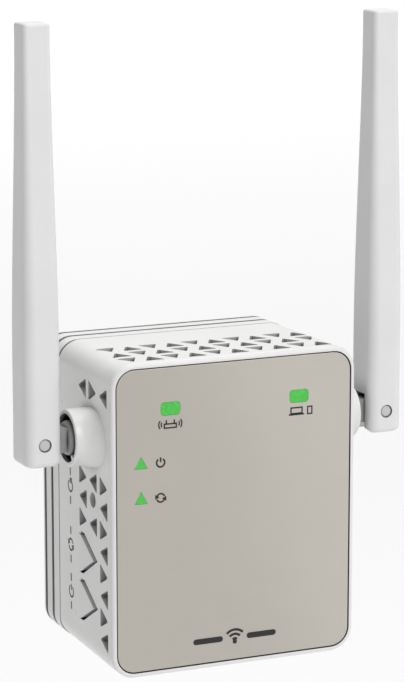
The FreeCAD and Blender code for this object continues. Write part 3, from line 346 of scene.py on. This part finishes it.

# Painted shade in round holes in the side walls: the recessed reset key's and the two antenna
# sockets
RESET_WALL_X = -26.4 * MM
RESET_HALF_LENGTH = 1.35 * MM
RESET_R = 1.6 * MM
RESET_SHADE_TONE = 0.03
SOCKET_OUTWARD = 1.4 * MM
SOCKET_HALF_LENGTH = 1.6 * MM
SOCKET_R = 5.4 * MM
SOCKET_SHADE_TONE = 0.04
reset_low, reset_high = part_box("reset_plunger")
reset_centre = (
    RESET_WALL_X,
    (reset_low[1] + reset_high[1]) / 2,
    (reset_low[2] + reset_high[2]) / 2,
)
BORE_SHADES = [(reset_centre, RESET_HALF_LENGTH, RESET_R, RESET_SHADE_TONE)]
for joint in frame["record"]["behaviour"]["joints"]:
    if joint["name"].endswith("_swivel"):
        x, y, z = joint["pos_m"]
        centre = (x + math.copysign(SOCKET_OUTWARD, x), y, z)
        BORE_SHADES.append((centre, SOCKET_HALF_LENGTH, SOCKET_R, SOCKET_SHADE_TONE))

# Reach of the painted shade in gaps: wide on the case, narrow on the antennas and keys
GAP_SHADE_REACH = 3.0 * MM
ANTENNA_GAP_SHADE_REACH = 0.8 * MM
KEY_GAP_SHADE_REACH = 0.6 * MM
WHITE = (0.70, 0.70, 0.692)
FINISH = {
    "shell_white": moulded(
        "shell_white_abs", WHITE, 0.26, 0.36, 0.008, gap=GAP_SHADE_REACH, dark=(CAVITY_SHADE, SEAM_SHADOW), bores=BORE_SHADES
    ),
    "rear_white": moulded("rear_white_abs", WHITE, 0.28, 0.38, 0.008, gap=GAP_SHADE_REACH, dark=(CAVITY_SHADE,)),
    "antenna_white": moulded("antenna_satin", (0.68, 0.68, 0.68), 0.36, 0.46, 0.01, gap=ANTENNA_GAP_SHADE_REACH),
    "knuckle_grey": moulded("knuckle_satin", (0.39, 0.39, 0.39), 0.40, 0.50, 0.02, gap=GAP_SHADE_REACH),
    "button_white": moulded("button_white_abs", WHITE, 0.30, 0.40, 0.008, gap=KEY_GAP_SHADE_REACH),
    "panel_champagne": metallic_paint("champagne_paint"),
    "lens_green": lit_lens("lit_green"),
    "board_green": board("solder_mask"),
    "black_plastic": moulded("black_nylon", (0.02, 0.02, 0.022), 0.4, 0.55, 0.05),
    "ivory_plastic": moulded("ivory_nylon", (0.62, 0.58, 0.48), 0.35, 0.5, 0.04),
    "steel": bare_metal("zinc_steel", (0.60, 0.60, 0.61), 0.22, 0.38),
    "tinplate": bare_metal("tinplate_can", (0.66, 0.66, 0.67), 0.16, 0.30),
    "brass": bare_metal("plug_brass", (0.78, 0.72, 0.56), 0.16, 0.28, (1.0, 14.0, 1.0)),
    "gold": bare_metal("gold_plate", (0.85, 0.62, 0.25), 0.15, 0.25),
    "capacitor_sleeve": moulded("sleeve_film", (0.03, 0.035, 0.07), 0.18, 0.28),
    "ferrite": moulded("ferrite_core", (0.05, 0.05, 0.055), 0.45, 0.6, 0.15, 1200.0),
    "winding_tape": winding("taped_coil"),
    "coax_jacket": moulded("coax_skin", (0.04, 0.04, 0.04), 0.3, 0.42, 0.05),
    "label_silver": bare_metal("label_film", (0.72, 0.72, 0.72), 0.38, 0.5, (14.0, 1.0, 1.0)),
    "safety_blue": moulded("dipped_blue", (0.03, 0.10, 0.30), 0.15, 0.25),
}

PIN_FINISH = moulded("pin_satin", (0.50, 0.50, 0.50), 0.30, 0.40, 0.01)

for part in frame["record"]["subparts"]:
    target = NODES[part["node"]]
    finish = FINISH[part["material_slot"]]
    if part["node"].endswith("hinge_pins"):
        finish = PIN_FINISH
    for material_slot in target.material_slots:
        material_slot.material = finish


# ---------------------------------------------------------------- printed marks


def mark_material(name, colour):
    """Screen-printed ink with slightly uneven cover."""
    s = Shader(name)
    cover = s.noise(3000.0, 3.0)
    s.colour(s.ramp(cover, shade(colour, 0.8), shade(colour, 1.25)))
    s.roughness(s.span(cover, 0.45, 0.6))
    s.bump(cover, 0.05, FINE_DEPTH)
    return s.material


class Marks:
    """Flat printed shapes gathered in one mesh, drawn in millimetres on a plane."""

    def __init__(self, origin, across, up, out, thickness=0.03):
        self.origin = Vector(origin)
        self.across = Vector(across)
        self.up = Vector(up)
        self.out = Vector(out)
        self.thickness = thickness
        self.sunk = 0.01
        self.mesh = bmesh.new()

    def place(self, u, v, w):
        return self.origin + (self.across * u + self.up * v + self.out * w) * MM

    def polygon(self, points):
        """One flat convex tile with a little thickness."""
        top = [self.mesh.verts.new(self.place(u, v, self.thickness)) for u, v in points]
        low = [self.mesh.verts.new(self.place(u, v, -self.sunk)) for u, v in points]
        self.mesh.faces.new(top)
        self.mesh.faces.new(low[::-1])
        for i in range(len(points)):
            j = (i + 1) % len(points)
            self.mesh.faces.new((top[j], top[i], low[i], low[j]))

    def stroke(self, points, width, closed=False):
        """A line of even width through the points, with mitred turns."""
        count = len(points)
        left, right = [], []
        for i in range(count):
            before = points[i - 1] if (i > 0 or closed) else points[i]
            after = points[(i + 1) % count] if (i < count - 1 or closed) else points[i]
            here = Vector(points[i])
            one = (here - Vector(before)) if before != points[i] else None
            two = (Vector(after) - here) if after != points[i] else None
            one = one.normalized() if one else two.normalized()
            two = two.normalized() if two else one
            normal = Vector((-(one + two).y, (one + two).x)).normalized()
            reach = width / 2 / max(0.4, normal.dot(Vector((-one.y, one.x))))
            left.append(tuple(here + normal * reach))
            right.append(tuple(here - normal * reach))
        last = count if closed else count - 1
        for i in range(last):
            j = (i + 1) % count
            self.polygon([left[i], right[i], right[j], left[j]])

    def arc(self, u, v, r, start, end, width, steps=24):
        """Part of a ring between two angles in degrees."""
        full = abs(end - start) >= 359.9
        points = []
        for i in range(steps + (0 if full else 1)):
            a = math.radians(start + (end - start) * i / steps)
            points.append((u + r * math.cos(a), v + r * math.sin(a)))
        self.stroke(points, width, closed=full)

    def bar(self, u0, u1, v, r, steps=10):
        """Level bar with round ends."""
        points = []
        for centre, start in ((u1, -90), (u0, 90)):
            for i in range(steps + 1):
                a = math.radians(start + 180 * i / steps)
                points.append((centre + r * math.cos(a), v + r * math.sin(a)))
        self.polygon(points)

    def disc(self, u, v, r, steps=20):
        ring = [math.tau * i / steps for i in range(steps)]
        self.polygon([(u + r * math.cos(a), v + r * math.sin(a)) for a in ring])

    def finish(self, name, material, body):
        bmesh.ops.recalc_face_normals(self.mesh, faces=self.mesh.faces)
        data = bpy.data.meshes.new(name)
        self.mesh.to_mesh(data)
        self.mesh.free()
        data.materials.append(material)
        made = bpy.data.objects.new(name, data)
        bpy.context.scene.collection.objects.link(made)
        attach(made, body)
        return made


def power_symbol(marks, u, v, r, width):
    """Open ring with an upright bar."""
    marks.arc(u, v, r, 125, 415, width)
    marks.stroke([(u, v + r * 0.15), (u, v + r * 1.25)], width)


def arrow_head(marks, u, v, r, degrees, length, half_width):
    """Triangle on a circle, pointing anticlockwise along it."""
    a = math.radians(degrees)
    outward = Vector((math.cos(a), math.sin(a)))
    along = Vector((-math.sin(a), math.cos(a)))
    base = Vector((u, v)) + outward * r
    tip = base + along * length
    side = outward * half_width
    marks.polygon([tuple(tip), tuple(base + side), tuple(base - side)])


def pairing_symbol(marks, u, v, r, width):
    """Two curved arrows chasing each other."""
    for turn in (0, 180):
        marks.arc(u, v, r, turn + 20, turn + 150, width, 12)
        arrow_head(marks, u, v, r, turn + 150, width * 2.6, width * 1.7)


def fan_symbol(marks, u, v, size, width):
    """Signal fan: a dot under three arcs."""
    marks.disc(u, v + width * 0.9, width * 0.95)
    for i in range(1, 4):
        marks.arc(u, v + width * 0.9, size * i / 3 - width / 2, 45, 135, width, 14)


def reset_symbol(marks, u, v, r, width):
    """One open circular arrow."""
    marks.arc(u, v, r, -240, 60, width, 22)
    arrow_head(marks, u, v, r, 60, width * 3.0, width * 2.0)


def base_station_symbol(marks, u, v):
    """Flat box with two masts and a signal fan on each side."""
    mast_low = v + 0.35
    mast_high = v + 1.25
    box_symbol(marks, u, v, 1.35, 0.42, 0.3)
    for mast in (u - 0.9, u + 0.9):
        marks.stroke([(mast, mast_low), (mast, mast_high)], 0.3)
    for outward, facing in ((1, 0), (-1, 180)):
        for ring in (0.75, 1.3):
            marks.arc(u + outward * 1.3, mast_low, ring, facing - 40, facing + 40, 0.28, 8)


def devices_symbol(marks, u, v):
    """A screen on its base with a handset beside it."""
    box_symbol(marks, u, v, 1.3, 0.62, 0.3)
    marks.stroke([(u - 1.8, v - 0.85), (u + 1.8, v - 0.85)], 0.32)
    box_symbol(marks, u + 3.1, v - 0.15, 0.5, 0.78, 0.28)


def badge(marks, u, v):
    """Plain badge: signal fan between two round-ended bars."""
    fan_symbol(marks, u, v - 1.4, 2.9, 0.52)
    for start in (u - 9.0, u + 3.4):
        marks.bar(start, start + 5.6, v, 0.62)


def box_symbol(marks, u, v, half_w, half_h, width):
    """Outline of a small rectangle."""
    corners = [
        (u - half_w, v - half_h),
        (u + half_w, v - half_h),
        (u + half_w, v + half_h),
        (u - half_w, v + half_h),
    ]
    marks.stroke(corners, width, closed=True)


panel_low, panel_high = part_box("front_panel")
panel_mid = ((panel_low[0] + panel_high[0]) / 2, panel_low[1], (panel_low[2] + panel_high[2]) / 2)
INK = mark_material("printed_ink", (0.008, 0.008, 0.008))
GREY_INK = mark_material("printed_grey_ink", (0.03, 0.03, 0.03))

front = Marks(panel_mid, (1, 0, 0), (0, 0, 1), (0, -1, 0))
base_station_symbol(front, -14.8, 19.95)
devices_symbol(front, 14.2, 20.5)
power_symbol(front, -17.0, 12.3, 0.9, 0.36)
pairing_symbol(front, -17.0, 4.8, 0.9, 0.34)
badge(front, 0, -27.5)
front.finish("front_marks", INK, "case")

# Left side: one small pictogram beside each control, on the drafted wall
RIM_WIDTH = 1.175 * MM
DRAFT = 0.45 / 31.5
SIDE_MARK_DEPTH = 24.2 * MM
SIDE_SYMBOL_R = 1.25
SIDE_DASHES = (2.3, 4.0)
wall_x = panel_low[0] - RIM_WIDTH + SIDE_MARK_DEPTH * DRAFT
side_origin = (wall_x, SHELL_LOW[1] + SIDE_MARK_DEPTH, 0.0)
side = Marks(side_origin, (-DRAFT, -1, 0), (0, 0, 1), (-1, DRAFT, 0))
for node, symbol in (
    ("reset_plunger", reset_symbol),
    ("pairing_plunger", pairing_symbol),
    ("power_plunger", power_symbol),
):
    low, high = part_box(node)
    height = (low[2] + high[2]) / 2 / MM
    symbol(side, 0, height, SIDE_SYMBOL_R, 0.42)
    for sign in (1, -1):
        side.stroke([(0, height + sign * reach) for reach in SIDE_DASHES], 0.5)
side.finish("side_marks", GREY_INK, "case")


# ---------------------------------------------------------------- stage, light, camera


def floor_material():
    s = Shader("studio_floor")
    s.colour(s.ramp(s.noise(0.15, 1.0), (0.925, 0.925, 0.925, 1), (0.935, 0.935, 0.935, 1)))
    s.roughness(s.span(s.noise(0.5, 1.0), 0.85, 0.9))
    s.fixed(Specular_IOR_Level=0.1)
    return s.material


FLOOR_SIZE = 60.0
FLOOR_DROP = 0.25
bpy.ops.mesh.primitive_plane_add(size=FLOOR_SIZE, location=(0, 0, CAD_BOX[0][2] - FLOOR_DROP))
floor = bpy.context.object
floor.name = "studio_floor"
floor.data.materials.append(floor_material())

world = bpy.data.worlds.new("studio")
bpy.context.scene.world = world
world.use_nodes = True
background = world.node_tree.nodes["Background"]
background.inputs["Color"].default_value = (1.0, 1.0, 1.0, 1)
# Softbox room: full light from the front, top and right, less from the left
BRIGHT_SIDE = (0.80, -0.30, 0.52)
direction = world.node_tree.nodes.new("ShaderNodeTexCoord")
towards = world.node_tree.nodes.new("ShaderNodeVectorMath")
towards.operation = "DOT_PRODUCT"
towards.inputs[1].default_value = BRIGHT_SIDE
strength = world.node_tree.nodes.new("ShaderNodeMapRange")
strength.interpolation_type = "SMOOTHSTEP"
strength.inputs["From Min"].default_value = -0.75
strength.inputs["From Max"].default_value = 0.35
strength.inputs["To Min"].default_value = 0.15
strength.inputs["To Max"].default_value = 0.80
world.node_tree.links.new(direction.outputs["Generated"], towards.inputs[0])
world.node_tree.links.new(towards.outputs["Value"], strength.inputs["Value"])
world.node_tree.links.new(strength.outputs["Result"], background.inputs["Strength"])


def area_light(name, location, target, size, power):
    data = bpy.data.lights.new(name, "AREA")
    data.shape = "RECTANGLE"
    data.size = size[0]
    data.size_y = size[1]
    data.energy = power
    made = bpy.data.objects.new(name, data)
    made.location = location
    facing = Vector(target) - Vector(location)
    made.rotation_euler = facing.to_track_quat("-Z", "Y").to_euler()
    bpy.context.scene.collection.objects.link(made)


OBJECT_MIDDLE = (0, -0.02, 0.0)
area_light("key", (0.25, -0.95, 0.7), OBJECT_MIDDLE, (0.5, 0.5), 4.6)
area_light("top", (0.05, 0.0, 1.0), OBJECT_MIDDLE, (0.6, 0.4), 2.6)
area_light("backdrop", (1.5, 4.0, 3.0), (1.5, 4.0, 0.0), (7.0, 5.0), 95.0)

# Camera in front of, to the left of and a little above the object
AZIMUTH = math.radians(24.05)
ELEVATION = math.radians(11.38)
EYE = Vector((-0.2390, -0.5599, 0.1349))
look = Vector(
    (
        math.sin(AZIMUTH) * math.cos(ELEVATION),
        math.cos(AZIMUTH) * math.cos(ELEVATION),
        -math.sin(ELEVATION),
    )
)
camera_data = bpy.data.cameras.new("camera")
camera_data.lens = 148.0
camera_data.sensor_width = 36.0
camera_data.clip_start = 0.01
camera_data.clip_end = 50.0
camera = bpy.data.objects.new("camera", camera_data)
camera.location = EYE
camera.rotation_euler = look.to_track_quat("-Z", "Y").to_euler()
bpy.context.scene.collection.objects.link(camera)
bpy.context.scene.camera = camera
bpy.context.scene.view_settings.view_transform = "Standard"
